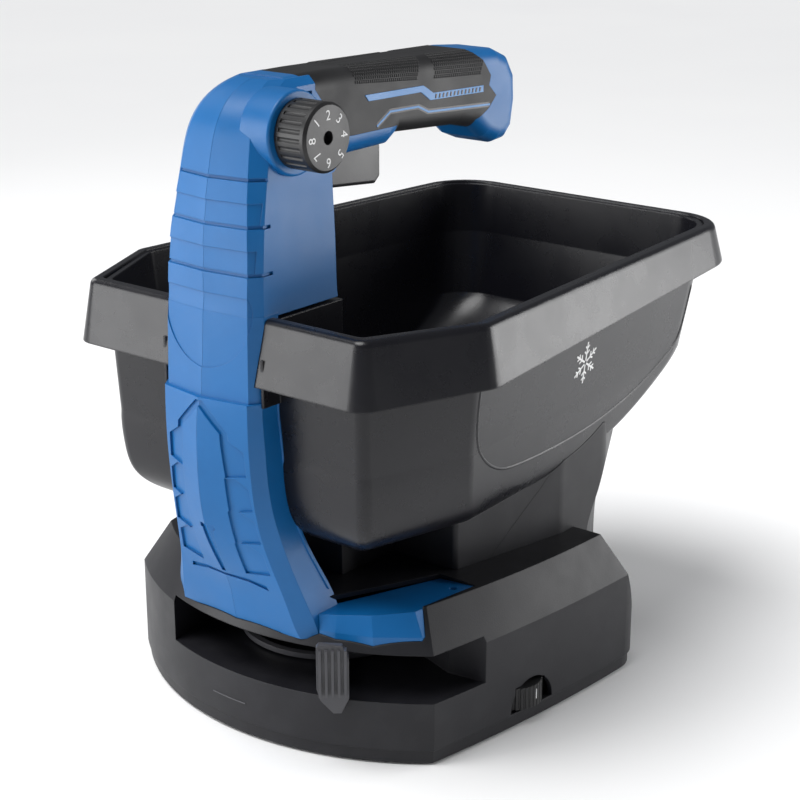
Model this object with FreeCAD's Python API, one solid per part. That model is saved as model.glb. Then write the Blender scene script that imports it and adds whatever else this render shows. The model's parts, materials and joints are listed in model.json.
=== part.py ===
import FreeCAD, Part
import math
import os

# Handheld salt spreader, battery powered.  Millimetres, +Z up, front (discharge slot) faces -Y,
# +X is the side with the dial.  Origin: centre of the overall box, on the surface it stands on.

V = FreeCAD.Vector

# ---------------------------------------------------------------- driving dimensions
WALL = 2.5                    # shell thickness of the blue and grey mouldings
HOPPER_WALL = 3.0
GAP = 0.4                     # clearance between pieces that move past each other
RUN_FIT = 0.05                # radial running clearance of a shaft in its bore
SEAT_GAP = 0.2                # clearance between fixed mouldings that nest

# base
PLATE_BOTTOM = 1.5            # underside of the base plate, above the feet
SEAM_Z = 9.0                  # seam between base plate and housing
FLOOR_Z = 37.0                # floor of the discharge slot
ROOF_Z = 64.0                 # roof of the discharge slot
SIDE_TOP_Z = 61.0             # where the vertical side faces end
DECK_Z = 86.0                 # flat top of the housing
DECK_INSET = 13.5             # how far the sloped faces lean in
BASE_FRONT_Y = -162.5         # middle of the arc-shaped front
BASE_CORNER = (108.5, -123.6)
BASE_SIDE_MID = (121.5, -40.0)
BASE_REAR = (127.0, 58.0)
BASE_REAR_RADIUS = 22.0
BASE_REAR_SLOPE = 32.0        # how far the rear faces lean forward over their height
FOOT_RADIUS = 8.0

# drive
AXIS_Y = -80.0                # impeller axis
CHAMBER_RADIUS = 66.0
IMPELLER_RADIUS = 44.0
IMPELLER_Z = 44.0
VANE_COUNT = 6
SHAFT_RADIUS = 4.0
MODULE = 1.0
IMPELLER_TEETH = 48
IDLER_TEETH = 54
PINION_TEETH = 18
GEAR_Z = 24.0
GEAR_WIDTH = 6.0
MOTOR_RADIUS = 14.0
MOTOR_LENGTH = 38.0
THROAT_RADIUS = 22.0

# spread width ring and lever
RING_RADIUS = 52.0
RING_Z = 38.0
RING_HEIGHT = 3.0
LEVER_ANGLE = 41.0            # from straight ahead, towards +X
LEVER_REACH = 97.5            # lever's inner face, from the impeller axis
LEVER_HALF = 8.6

# hopper
RIM_Z = 243.4
SKIRT_HEIGHT = 34.2            # at the front
SKIRT_REAR_HEIGHT = 22.0       # at the back, so its lower edge rises
SKIRT_FLARE = 6.0
RIM_FRONT = (96.0, -166.0)
RIM_SHOULDER = (125.0, -102.0)
RIM_BACK = (104.0, 178.2)
OUTLET_Z = 108.0

# tower
TOWER_FRONT_Y = -67.0
TOWER_BACK_Y = 124.0
TOWER_HALF_FRONT = 79.0
TOWER_HALF_MID = 95.0

# battery
BATTERY_HALF = 37.0
BATTERY_Z = (27.0, 93.0)
BATTERY_FRONT_Y = 30.0
BATTERY_BACK_Y = 118.0

# neck and handle
NECK_STEP_Z = 200.0
NECK_REAR_Y = -110.0
HANDLE_HALF = 19.5
HANDLE_TOP_Z = 357.4
HANDLE_END_Y = 70.0
GRIP_SKIN = 2.6

# dial
DIAL_Y = -139.0
DIAL_Z = 333.0
DIAL_RADIUS = 17.5
DIAL_BOSS_RADIUS = 21.5
DIAL_FACE_X = 53.0
DIAL_FLUTES = 24

# trigger
TRIGGER_PIVOT = (-97.0, 309.0)
TRIGGER_HALF = 8.0
TRIGGER_END_Y = -45.0

# speed thumbwheel
WHEEL_Y = -50.0
WHEEL_RADIUS = 17.0
WHEEL_Z = (11.0, 24.0)
WHEEL_PROUD = 3.0


# ---------------------------------------------------------------- helpers
def box(x0, x1, y0, y1, z0, z1):
    return Part.makeBox(x1 - x0, y1 - y0, z1 - z0, V(x0, y0, z0))


def cyl(radius, height, x, y, z, axis=V(0, 0, 1)):
    return Part.makeCylinder(radius, height, V(x, y, z), axis)


def tube(outer, inner, height, x, y, z, axis=V(0, 0, 1)):
    return cyl(outer, height, x, y, z, axis).cut(cyl(inner, height, x, y, z, axis))


def join(shapes):
    first = shapes[0]
    if len(shapes) == 1:
        return first
    return first.fuse(shapes[1:]).removeSplitter()


def mirrored(points):
    """Closed outline from its +X half, listed front to back."""
    return list(points) + [(-x, y) for x, y in reversed(points)]


def inset(points, distance):
    """The same polygon with each side moved inwards; points run anticlockwise."""
    count = len(points)
    result = []
    for i in range(count):
        ax, ay = points[i - 1]
        bx, by = points[i]
        cx, cy = points[(i + 1) % count]
        first = math.atan2(by - ay, bx - ax)
        second = math.atan2(cy - by, cx - bx)
        n1 = (-math.sin(first), math.cos(first))
        n2 = (-math.sin(second), math.cos(second))
        scale = distance / (1.0 + n1[0] * n2[0] + n1[1] * n2[1])
        result.append((bx + (n1[0] + n2[0]) * scale, by + (n1[1] + n2[1]) * scale))
    return result


def rounded_wire(points, radii, z):
    """Polygon wire at height z with each corner replaced by an arc."""
    count = len(points)
    corners = []
    for i in range(count):
        before = V(*points[i - 1], z)
        corner = V(*points[i], z)
        after = V(*points[(i + 1) % count], z)
        to_before = (before - corner).normalize()
        to_after = (after - corner).normalize()
        half = to_before.getAngle(to_after) / 2.0
        reach = radii[i] / math.tan(half)
        bisector = (to_before + to_after).normalize()
        centre = corner + bisector * (radii[i] / math.sin(half))
        middle = centre - bisector * radii[i]
        corners.append((corner + to_before * reach, middle, corner + to_after * reach))
    edges = []
    for i in range(count):
        start, middle, end = corners[i]
        edges.append(Part.Arc(start, middle, end).toShape())
        edges.append(Part.LineSegment(end, corners[(i + 1) % count][0]).toShape())
    return Part.Wire(edges)


def prism(points, z0, z1):
    ring = [V(x, y, z0) for x, y in points]
    wire = Part.makePolygon(ring + [ring[0]])
    return Part.Face(wire).extrude(V(0, 0, z1 - z0))


def side_prism(points, x0, x1):
    """Solid from an outline in the Y-Z plane, between two X values."""
    ring = [V(x0, y, z) for y, z in points]
    wire = Part.makePolygon(ring + [ring[0]])
    return Part.Face(wire).extrude(V(x1 - x0, 0, 0))


def polygon_wire(points):
    ring = [V(*p) for p in points]
    return Part.makePolygon(ring + [ring[0]])


def turned(shape, degrees, x, y, z=0.0, axis=V(0, 0, 1)):
    copy = shape.copy()
    copy.rotate(V(x, y, z), axis, degrees)
    return copy


def half(shape, side):
    """The +X (side 1) or -X (side -1) half of a shape, short of the middle by half a seam."""
    seam = 0.05
    big = 400.0
    if side > 0:
        return shape.common(box(seam, big, -big, big, -big, big * 2))
    return shape.common(box(-big, -seam, -big, big, -big, big * 2))


def largest(shape):
    return max(shape.Solids, key=lambda solid: solid.Volume)


# ---------------------------------------------------------------- base outline
def base_wire(distance, z):
    """Outline of the base at height z, moved inwards by distance."""
    cx, cy = BASE_CORNER
    mx, my = BASE_SIDE_MID
    rx, ry = BASE_REAR
    corner = V(cx - distance, cy + distance * 0.75, z)
    left_corner = V(-corner.x, corner.y, z)
    side = V(mx - distance, my, z)
    front = V(0, BASE_FRONT_Y + distance, z)
    radius = BASE_REAR_RADIUS - distance / 2.0
    side_end = V(rx - distance, ry - distance - radius, z)
    back_end = V(rx - distance - radius, ry - distance, z)
    diagonal = radius * (1.0 - math.sqrt(0.5))
    bend = V(rx - distance - diagonal, ry - distance - diagonal, z)
    edges = [Part.Arc(left_corner, front, corner).toShape(),
             Part.Arc(corner, side, side_end).toShape(),
             Part.Arc(side_end, bend, back_end).toShape(),
             Part.LineSegment(back_end, V(-back_end.x, back_end.y, z)).toShape(),
             Part.Arc(V(-back_end.x, back_end.y, z), V(-bend.x, bend.y, z),
                      V(-side_end.x, side_end.y, z)).toShape(),
             Part.Arc(V(-side_end.x, side_end.y, z), V(-side.x, side.y, z), left_corner).toShape()]
    return Part.Wire(edges)


def base_block(distance, z0, z1):
    return Part.Face(base_wire(distance, z0)).extrude(V(0, 0, z1 - z0))


def rear_slope_cut(distance):
    """Everything behind the leaning rear face of the base, moved forward by distance."""
    top_y = BASE_REAR[1] - BASE_REAR_SLOPE - distance
    low_y = BASE_REAR[1] - distance
    return side_prism([(low_y, SEAM_Z - 1), (top_y, DECK_Z + 1), (300, DECK_Z + 1), (300, SEAM_Z - 1)],
                      -200, 200)


def base_outer(distance):
    """Whole outside of the base above the seam, moved inwards by distance."""
    low = base_block(distance, SEAM_Z, SIDE_TOP_Z - distance)
    top = Part.makeLoft([base_wire(distance, SIDE_TOP_Z - distance),
                         base_wire(distance + DECK_INSET, DECK_Z - distance)], True, True)
    return low.fuse(top).removeSplitter().cut(rear_slope_cut(distance))


def chamber(extra):
    """Space the impeller throws into, open to the front and the front right corner."""
    z0 = FLOOR_Z - extra
    z1 = ROOF_Z + extra
    drum = cyl(CHAMBER_RADIUS + extra, z1 - z0, 0, AXIS_Y, z0)
    mouth = prism([(-50 - extra, -175), (135, -175), (135, -84 + extra), (92, -90 + extra),
                   (62, AXIS_Y + extra), (0, AXIS_Y), (-60 - extra, -100)], z0, z1)
    return drum.fuse(mouth).removeSplitter()


# ---------------------------------------------------------------- hopper
HOPPER_RADII = [7, 9, 30, 30, 9, 7]
# z, then the +X half of the outline: front corner, shoulder, back corner
HOPPER_UPPER = [(RIM_Z - 1, (90, -160), (119, -101), (98, 172)),
                (211.0, (89, -158.5), (116, -99), (96, 169)),
                (168.0, (88, -156.5), (109, -94), (92, 161))]
HOPPER_LOWER = [(168.0, (88, -156.5), (109, -94), (92, 161)),
                (152.0, (88, -156), (107.5, -92), (90, 141)),
                (140.0, (87, -154.5), (105, -88), (90, 114)),
                (130.0, (84, -151), (101, -82), (90, 82)),
                (122.0, (76, -143), (93, -76), (86, 48)),
                (116.0, (62, -130), (78, -70), (74, 16)),
                (112.0, (44, -117), (56, -68), (50, -22)),
                (OUTLET_Z, (27, -107), (30, -80), (27, -53))]


def hopper_section(level, distance):
    z, front, shoulder, back = level
    points = inset(ordered(mirrored([front, shoulder, back])), distance)
    shrink = min(1.0, front[0] / 54.0)
    radii = [max(3.0, (r - distance * 0.6) * shrink) for r in HOPPER_RADII]
    return rounded_wire(points, radii, z)


def ordered(points):
    """Start at the front right corner and run anticlockwise seen from above."""
    area = 0.0
    for i in range(len(points)):
        x0, y0 = points[i - 1]
        x1, y1 = points[i]
        area += x0 * y1 - x1 * y0
    return points if area > 0 else points[::-1]


def hopper_solid(distance):
    """Filled hopper: its outside at distance 0, its inside at the wall thickness."""
    lift = distance * 0.9
    upper = [(z + (0 if z > 168 else lift), *rest) for z, *rest in HOPPER_UPPER]
    lower = [(z + (lift if z > OUTLET_Z else 0), *rest) for z, *rest in HOPPER_LOWER]
    top = Part.makeLoft([hopper_section(level, distance) for level in upper], True, True)
    bottom = Part.makeLoft([hopper_section(level, distance) for level in lower[::-1]], True, False)
    return top.fuse(bottom)


def rim_section(grow, z):
    points = ordered(mirrored([RIM_FRONT, RIM_SHOULDER, RIM_BACK]))
    radii = [8 + max(grow, -4), 10 + max(grow, -4), 34 + grow]
    radii = radii + radii[::-1]
    return rounded_wire(inset(points, -grow), radii, z)


def skirt_edge(grow, drop):
    """Lower edge of the skirt: the rim's outline in a plane that rises towards the back."""
    length = RIM_BACK[1] - RIM_FRONT[1]
    slope = math.degrees(math.atan((SKIRT_HEIGHT - SKIRT_REAR_HEIGHT) / length))
    wire = rim_section(grow, 0.0)
    wire.rotate(V(0, RIM_FRONT[1], 0), V(1, 0, 0), slope)
    wire.translate(V(0, 0, RIM_Z - SKIRT_HEIGHT - drop))
    return wire


def hopper_rim():
    """Rolled rim with the skirt that hangs from it."""
    skin = 2.6
    outer = Part.makeLoft([skirt_edge(SKIRT_FLARE, 0.0), rim_section(0, RIM_Z)], True, True)
    top_edges = [e for e in outer.Edges if abs(e.BoundBox.ZMin - RIM_Z) < 0.01]
    outer = outer.makeFillet(3.6, top_edges)
    inner = Part.makeLoft([skirt_edge(SKIRT_FLARE - skin, 1.0), rim_section(-skin, RIM_Z - skin)],
                          True, True)
    mouth = Part.makeLoft([rim_section(-7.5, RIM_Z - 12), rim_section(-6.0, RIM_Z + 1)], True, True)
    return outer.cut(inner).cut(mouth)


def neck_cheeks():
    """Narrow lips that hang below the skirt on each side of the neck."""
    low = RIM_Z - SKIRT_HEIGHT - 11.0
    return [box(x, x + 1.6, RIM_FRONT[1] - 4.5, RIM_FRONT[1] + 9, low, RIM_Z - 20)
            for x in (NECK_SEAT_HALF, -NECK_SEAT_HALF - 1.6)]


NECK_SEAT_HALF = 33.6


def neck_seat():
    """Boxed-in ledge at the front of the hopper that the upper neck stands on."""
    side = NECK_SEAT_HALF + 1.4
    block = box(-side, side, -162, NECK_REAR_Y + 1.4, RIM_Z - 36, RIM_Z)
    hollow = box(3 - side, side - 3, -157, NECK_REAR_Y - 1.6, RIM_Z - 40, RIM_Z - 3)
    return block, hollow


def make_hopper(neck_envelope):
    outer = hopper_solid(0.0)
    inner = hopper_solid(HOPPER_WALL)
    block, hollow = neck_seat()
    shell = outer.cut(inner)
    shell = shell.fuse([hopper_rim(), block.common(outer)] + neck_cheeks()).removeSplitter()
    shell = shell.cut(hollow)
    shell = shell.cut(neck_envelope)
    shell = shell.cut(cyl(60, 20, 0, AXIS_Y, OUTLET_Z - 20))
    return largest(shell)


# ---------------------------------------------------------------- neck and handle
# z, front ridge y, front corner x, front corner y, side x, rear y
NECK_LOWER = [(67.0, -158.2, 43.0, -155.0, 50.0, -137.0),
              (86.0, -162.0, 38.5, -160.0, 47.0, -132.0),
              (105.0, -170.0, 34.5, -165.0, 42.0, -139.0),
              (126.0, -179.0, 31.2, -170.5, 38.0, -147.0),
              (143.0, -182.6, 30.0, -173.6, 35.5, -151.0),
              (165.0, -183.9, 29.5, -175.9, 34.5, -154.0),
              (182.0, -183.6, 29.3, -176.6, 34.0, -155.0),
              (NECK_STEP_Z, -181.5, 29.1, -176.5, 33.8, -156.0)]
NECK_UPPER = [(NECK_STEP_Z, -179.2, 28.4, -174.6, 33.2, -156.0),
              (245.0, -176.3, 27.9, -173.3, 33.0, -156.0)]
NECK_HEAD = [(266.0, -174.8, 27.5, -171.9, 32.0, NECK_REAR_Y),
             (290.0, -173.0, 25.7, -169.3, 31.0, NECK_REAR_Y),
             (312.0, -169.2, 23.3, -165.4, 30.0, NECK_REAR_Y),
             (327.0, -165.6, 21.8, -162.0, 29.0, NECK_REAR_Y),
             (338.0, -161.4, 20.0, -158.2, 26.8, NECK_REAR_Y),
             (346.0, -155.6, 17.6, -152.8, 23.8, NECK_REAR_Y),
             (352.0, -147.8, 14.4, -145.6, 20.0, NECK_REAR_Y),
             (356.6, -136.0, 10.5, -134.6, 15.5, NECK_REAR_Y)]
GROOVE_LINES = (312.2, 289.3, 265.7)
STEP_LINES = (301.0, 277.9, 254.3)
LOW_POCKETS = (176.5, 157.2, 138.4, 119.2)    # top of each recess at its inner edge
POCKET_HEIGHT = 16.5


def neck_section(level, distance):
    z, ridge, corner_x, corner_y, side_x, rear = level
    side_y = corner_y + 7.0
    points = [(0, ridge), (corner_x, corner_y), (side_x, side_y), (side_x, rear),
              (-side_x, rear), (-side_x, side_y), (-corner_x, corner_y)]
    return polygon_wire([(x, y, z) for x, y in inset(points, distance)])


def smooth_loft(levels, distance):
    return Part.makeLoft([neck_section(level, distance) for level in levels], True, False)


def neck_column(distance):
    if distance not in NECK_COLUMNS:
        lower = smooth_loft(NECK_LOWER, distance)
        seat = Part.makeLoft([neck_section(level, distance) for level in NECK_UPPER], True, True)
        head_foot = (RIM_Z + distance + SEAT_GAP, *NECK_UPPER[1][1:5], NECK_REAR_Y)
        head = smooth_loft([head_foot] + NECK_HEAD, distance)
        NECK_COLUMNS[distance] = lower.fuse([seat, head]).removeSplitter()
    return NECK_COLUMNS[distance]


NECK_COLUMNS = {}             # finished columns by their distance


def shoulder_cut():
    """Space beside the handle's start, behind the rounded shoulder round the dial."""
    outline = [(-139, 358.5), (-128, 355.5), (-119, 348), (-113.5, 338), (-110.5, 325), (-100, 325),
               (-100, 380), (-139, 380)]
    return side_prism(outline, HANDLE_HALF, 60).fuse(side_prism(outline, -60, -HANDLE_HALF))


def handle_profile(distance):
    """Side outline of the upper neck and handle, moved inwards by distance."""
    d = distance
    return [(-190, 60), (-190, HANDLE_TOP_Z - d), (-99, HANDLE_TOP_Z - d),
            (28, 355.0 - d), (50, 353.0 - d), (62 - d, 348 - d), (HANDLE_END_Y - 1 - d, 337.0),
            (HANDLE_END_Y - d, 322.0), (HANDLE_END_Y - 3 - d, 306.0 + d), (60 - d, 299.5 + d),
            (50, 298.5 + d), (38 + d, 303.0 + d), (28, 311.0 + d),
            (14, 313.7 + d), (-40, 317.0 + d), (-48, 312.0 + d), (NECK_REAR_Y + 2 - d, 311.0 + d),
            (NECK_REAR_Y - d, 300), (NECK_REAR_Y - d, 60)]


def handle_bar(distance):
    """Rounded bar of the handle, from inside the neck to its end."""
    profile = side_prism(handle_profile(distance), -(HANDLE_HALF - distance), HANDLE_HALF - distance)
    bar = profile.common(box(-40, 40, NECK_REAR_Y - 18, 200, 280, 400))
    long_edges = [e for e in bar.Edges
                  if abs(abs(e.CenterOfMass.x) - (HANDLE_HALF - distance)) < 0.01
                  and e.CenterOfMass.y > NECK_REAR_Y - 17.9]
    return bar.makeFillet(min(9.0, HANDLE_HALF / 2) - distance, long_edges)


def handle_outer(distance):
    column = neck_column(distance).common(side_prism(handle_profile(distance), -80, 80))
    return column.cut(shoulder_cut()).fuse(handle_bar(distance)).removeSplitter()


def front_prism(points):
    """Prism through the neck's front faces from an outline in the X-Z plane."""
    ring = [V(x, -200, z) for x, z in points]
    return Part.Face(Part.makePolygon(ring + [ring[0]])).extrude(V(0, 42, 0))


def deep_relief(side):
    """Recesses of the lower neck on one side of its middle, and the grooves above."""
    shapes = [[(0, 198.5), (2.4, 198.5), (17.4, 183.6), (17.8, 179.6), (26.4, 174.2), (27.0, 161.0),
               (15.4, 159.0), (13.4, 177.0), (13.0, 182.6), (0, 195.6)]]
    for i, top in enumerate(LOW_POCKETS[1:]):
        lean = 1.2 * (i + 1)
        shapes.append([(14.6, top + 1.5), (20.0 + lean / 2, top + 1.8), (26.5 + lean, top - 3.0),
                       (27.2 + 1.3 * lean, top + 1.0 - POCKET_HEIGHT),
                       (15.4, top - 1.5 - POCKET_HEIGHT)])
    shapes.append([(0, 97.6), (15.4, 97.6), (27.0, 96.0), (28.2, 93.0), (15.0, 95.6), (0, 96.0)])
    shapes.append([(0, 130.0), (5.0, 129.6), (5.0, 127.0), (3.6, 126.6), (1.4, 99.0), (0, 99.0)])
    for z in GROOVE_LINES:
        shapes.append([(0, z + 1.0), (45, z + 1.0), (45, z - 0.8), (0, z - 0.8)])
    return Part.makeCompound([front_prism([(side * x, z) for x, z in shape]) for shape in shapes])


def shallow_relief(side):
    """Bands that step back below every second rib line, and the round field below the last."""
    reach = 29.5
    shapes = [[(0, z), (reach, z), (reach, low + 1.0), (0, low + 1.0)]
              for z, low in zip(STEP_LINES, GROOVE_LINES[1:])]
    bands = [front_prism([(side * x, z) for x, z in shape]) for shape in shapes]
    field = cyl(29.4, 42, 0, -200, 244.9, V(0, 1, 0))
    field = field.common(box(min(0, 40 * side), max(0, 40 * side), -200, -150, 210, STEP_LINES[-1]))
    return Part.makeCompound(bands + [field])


# ---------------------------------------------------------------- gears
def gear(teeth, width, z, tooth_angle, bore):
    """Spur gear with straight flanks; a tooth is centred at tooth_angle degrees."""
    pitch_radius = MODULE * teeth / 2.0
    tip = pitch_radius + 0.85 * MODULE
    root = pitch_radius - 1.2 * MODULE
    pitch = 2 * math.pi / teeth
    points = []
    for i in range(teeth):
        middle = math.radians(tooth_angle) + i * pitch
        for radius, share in ((root, -0.33), (pitch_radius, -0.225), (tip, -0.10),
                              (tip, 0.10), (pitch_radius, 0.225), (root, 0.33)):
            angle = middle + share * pitch
            points.append((radius * math.cos(angle), radius * math.sin(angle)))
    return prism(points, z, z + width).cut(cyl(bore, width, 0, 0, z))


def gear_distance(teeth_a, teeth_b):
    return MODULE * (teeth_a + teeth_b) / 2.0


IDLER_Y = AXIS_Y + gear_distance(IMPELLER_TEETH, IDLER_TEETH)
MOTOR_Y = IDLER_Y + gear_distance(IDLER_TEETH, PINION_TEETH)


# ---------------------------------------------------------------- base parts
def make_base_plate():
    plate = base_block(1.2, PLATE_BOTTOM, SEAM_Z)
    tail = prism([(-86, BASE_REAR[1] - 12), (86, BASE_REAR[1] - 12), (70, 98), (-70, 98)],
                 PLATE_BOTTOM, SEAM_Z)
    plate = plate.fuse(tail).removeSplitter()
    hollow = base_block(4.5, PLATE_BOTTOM + WALL, SEAM_Z)
    hollow = hollow.cut(box(-200, 200, BASE_REAR[1] - 34, 200, 0, 50))
    plate = plate.cut(hollow)
    boss = cyl(9, SEAM_Z - PLATE_BOTTOM, 0, AXIS_Y, PLATE_BOTTOM)
    return plate.fuse(boss).removeSplitter()


def make_feet():
    spots = [(-92, -108), (92, -108), (-108, 30), (108, 30), (-52, 84), (52, 84)]
    return Part.makeCompound([cyl(FOOT_RADIUS, PLATE_BOTTOM, x, y, 0) for x, y in spots])


def tower_plan(distance):
    points = [(-TOWER_HALF_FRONT, TOWER_FRONT_Y), (TOWER_HALF_FRONT, TOWER_FRONT_Y),
              (TOWER_HALF_MID, 13), (TOWER_HALF_MID, 58), (60, TOWER_BACK_Y),
              (-60, TOWER_BACK_Y), (-TOWER_HALF_MID, 58), (-TOWER_HALF_MID, 13)]
    return inset(points, distance)


REAR_CORNER_WAIST = [(SEAM_Z, 9.4), (50.0, 9.4), (69.0, 9.1), (79.0, 8.3), (86.0, 7.2), (92.5, 5.6),
                     (99.0, 3.7), (105.5, 2.1), (112.0, 0.8), (118.0, 0.2), (124.0, 0.0), (169.0, 0.0)]


def rear_corner_limit(distance, side):
    """Space inside the slanted rear corner, which draws in below the column's shoulder."""
    start = V(TOWER_HALF_MID, 58, 0)
    along = (V(60, TOWER_BACK_Y, 0) - start).normalize()
    out = V(along.y, -along.x, 0)
    curve = [start - along * 120 - out * (inward + distance) + V(0, 0, z)
             for z, inward in REAR_CORNER_WAIST]
    spline = Part.BSplineCurve()
    spline.interpolate(curve)
    low_in = curve[0] - out * 260
    high_in = curve[-1] - out * 260
    edges = [spline.toShape(), Part.LineSegment(curve[-1], high_in).toShape(),
             Part.LineSegment(high_in, low_in).toShape(), Part.LineSegment(low_in, curve[0]).toShape()]
    limit = Part.Face(Part.Wire(edges)).extrude(along * 360)
    return limit if side > 0 else limit.mirror(V(0, 0, 0), V(1, 0, 0))


def tower_solid(distance):
    """Rear housing and column together, before the hopper and base are taken out."""
    radii = [3, 3, 20, 20, 18, 18, 20, 20]
    face = Part.Face(rounded_wire(tower_plan(distance), [max(2, r - distance) for r in radii], SEAM_Z))
    body = face.extrude(V(0, 0, 160))
    d = distance
    back = [(-200, SEAM_Z + d), (100 - d, SEAM_Z + d), (100 - d, 62), (104 - d, 74),
            (114 - d, 86), (TOWER_BACK_Y - d, 106), (TOWER_BACK_Y - d, 169), (-200, 169)]
    body = body.common(side_prism(back, -150, 150))
    return body.common(rear_corner_limit(distance, 1)).common(rear_corner_limit(distance, -1))


HOUSING_LOW_Y = -22.0


def behind_seam(offset):
    """Space behind the slanted seam between the column and the rear housing."""
    return side_prism([(-44.5 + offset, 70), (-42.5 + offset, DECK_Z), (-5 + offset, 118),
                       (50 + offset, 170), (400, 170), (400, 0), (HOUSING_LOW_Y, 0), (HOUSING_LOW_Y, 70)], -200, 200)


def wheel_well(extra):
    wheel_x = wheel_centre_x()
    return cyl(WHEEL_RADIUS + extra, WHEEL_Z[1] - WHEEL_Z[0] + 2 * extra, wheel_x, WHEEL_Y,
               WHEEL_Z[0] - extra)


def wheel_centre_x():
    side_x = 120.6            # side face of the base at the thumbwheel
    return side_x + WHEEL_PROUD - WHEEL_RADIUS


def thumb_recess():
    """Arched hollow in the side face round the thumbwheel."""
    arch = cyl(17, 8, 117, WHEEL_Y, WHEEL_Z[0] - 0.5, V(1, 0, 0))
    return arch.common(box(100, 140, WHEEL_Y - 30, WHEEL_Y + 30, WHEEL_Z[0] - 1, WHEEL_Z[1] + 4))


def make_base_housing(neck_envelope, ring_path):
    outer = base_outer(0.0)
    hollow = base_outer(WALL + 0.5)
    low_hollow = base_block(WALL + 0.5, SEAM_Z, FLOOR_Z - 3).cut(box(-200, 200, 20, 300, 0, 60))
    hollow = hollow.fuse(low_hollow).cut(chamber(WALL + 0.5))
    housing = outer.cut(hollow).cut(chamber(0.0))
    tower_inner = tower_solid(WALL + 1.5).common(behind_seam(4.0))
    housing = housing.cut(tower_inner)
    housing = housing.cut(neck_envelope).cut(wing_envelope()).cut(ring_path)
    housing = housing.cut(cyl(THROAT_RADIUS + 3.2, 60, 0, AXIS_Y, ROOF_Z - 4))
    housing = housing.cut(cyl(SHAFT_RADIUS + 5.0, 20, 0, AXIS_Y, FLOOR_Z - 12))
    housing = housing.cut(wheel_well(1.0)).cut(thumb_recess())
    return largest(housing)


def make_hopper_support(hopper_body):
    column = tower_solid(0.0).cut(behind_seam(0.0)).cut(box(-200, 200, -200, 200, 0, DECK_Z))
    inside = tower_solid(WALL).cut(behind_seam(-WALL)).cut(box(-200, 200, -200, 200, 0, DECK_Z - 1))
    boss = box(-34, 34, AXIS_Y - 30, TOWER_FRONT_Y + 3, DECK_Z, OUTLET_Z + 4)
    throat = tube(THROAT_RADIUS + 3, THROAT_RADIUS, OUTLET_Z - ROOF_Z + 1, 0, AXIS_Y, ROOF_Z - 1)
    column = column.cut(inside)
    column = column.fuse([boss, throat]).removeSplitter()
    column = column.cut(cyl(THROAT_RADIUS, 80, 0, AXIS_Y, ROOF_Z - 2))
    column = column.cut(gate_slot())
    column = column.cut(hopper_body)
    return largest(column)


# ---------------------------------------------------------------- metering gate
GATE_Z = 98.0
GATE_THICK = 2.0
GATE_HALF = 25.5
GATE_TRAVEL = 36.0
DIAL_SWEEP = 315.0            # degrees from 1 to 8
DIAL_STEP = DIAL_SWEEP / 7.0
GATE_SHUT_REAR = AXIS_Y + THROAT_RADIUS + 2.0
GATE_REST_REAR = GATE_SHUT_REAR + GATE_TRAVEL / 7.0


def gate_slot():
    return box(-GATE_HALF - GAP, GATE_HALF + GAP, AXIS_Y - THROAT_RADIUS - 5.0,
               GATE_SHUT_REAR + GATE_TRAVEL + 6, GATE_Z - GAP, GATE_Z + GATE_THICK + GAP)


def make_gate_plate():
    length = 2 * THROAT_RADIUS + 6
    rear = GATE_REST_REAR
    plate = box(-GATE_HALF, GATE_HALF, rear - length, rear, GATE_Z, GATE_Z + GATE_THICK)
    clear = SHAFT_RADIUS + 1.5
    slot_end = AXIS_Y + GATE_TRAVEL / 7.0 + clear + GAP
    slot = box(-clear, clear, rear - length - 1, slot_end, GATE_Z - 1, GATE_Z + GATE_THICK + 1)
    lug = box(-6, 6, rear - 5, rear + 3, GATE_Z, GATE_Z + GATE_THICK)
    return plate.cut(slot).fuse(lug).removeSplitter()


# ---------------------------------------------------------------- drive parts
def make_impeller_shaft():
    return cyl(SHAFT_RADIUS, 130 - 13, 0, AXIS_Y, 13)


def make_impeller():
    disc = cyl(IMPELLER_RADIUS, 2.5, 0, AXIS_Y, IMPELLER_Z)
    hub = cyl(8, 10, 0, AXIS_Y, IMPELLER_Z)
    parts = [disc, hub]
    vane = box(7, IMPELLER_RADIUS - 1, -1, 1, IMPELLER_Z + 2, IMPELLER_Z + 14)
    for i in range(VANE_COUNT):
        blade = vane.copy()
        blade.translate(V(0, AXIS_Y, 0))
        parts.append(turned(blade, 360.0 / VANE_COUNT * i + 15, 0, AXIS_Y))
    return join(parts).cut(cyl(SHAFT_RADIUS, 80, 0, AXIS_Y, 20))


def make_agitator():
    hub = cyl(8, 14, 0, AXIS_Y, 114)
    parts = [hub]
    for i in range(3):
        arm = box(6, 23, AXIS_Y - 1.5, AXIS_Y + 1.5, 119, 124)
        finger = box(20, 23, AXIS_Y - 1.5, AXIS_Y + 1.5, 119, 133)
        parts.append(turned(arm.fuse(finger), 120 * i + 30, 0, AXIS_Y))
    cap = Part.makeSphere(8, V(0, AXIS_Y, 128))
    parts.append(cap.common(cyl(8, 20, 0, AXIS_Y, 128)))
    return join(parts).cut(cyl(SHAFT_RADIUS, 16, 0, AXIS_Y, 114))


def make_impeller_gear():
    body = gear(IMPELLER_TEETH, GEAR_WIDTH, GEAR_Z, 0.0, SHAFT_RADIUS)
    body.translate(V(0, AXIS_Y, 0))
    return body


def make_idler_gear():
    body = gear(IDLER_TEETH, GEAR_WIDTH, GEAR_Z, 0.0, 3.0 + RUN_FIT)
    body.translate(V(0, IDLER_Y, 0))
    return body


def make_idler_pin():
    pin = cyl(3.0, FLOOR_Z - 3 - SEAM_Z, 0, IDLER_Y, SEAM_Z)
    collar = cyl(5.0, GEAR_Z - SEAM_Z - GAP, 0, IDLER_Y, SEAM_Z)
    return pin.fuse(collar).removeSplitter()


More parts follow.
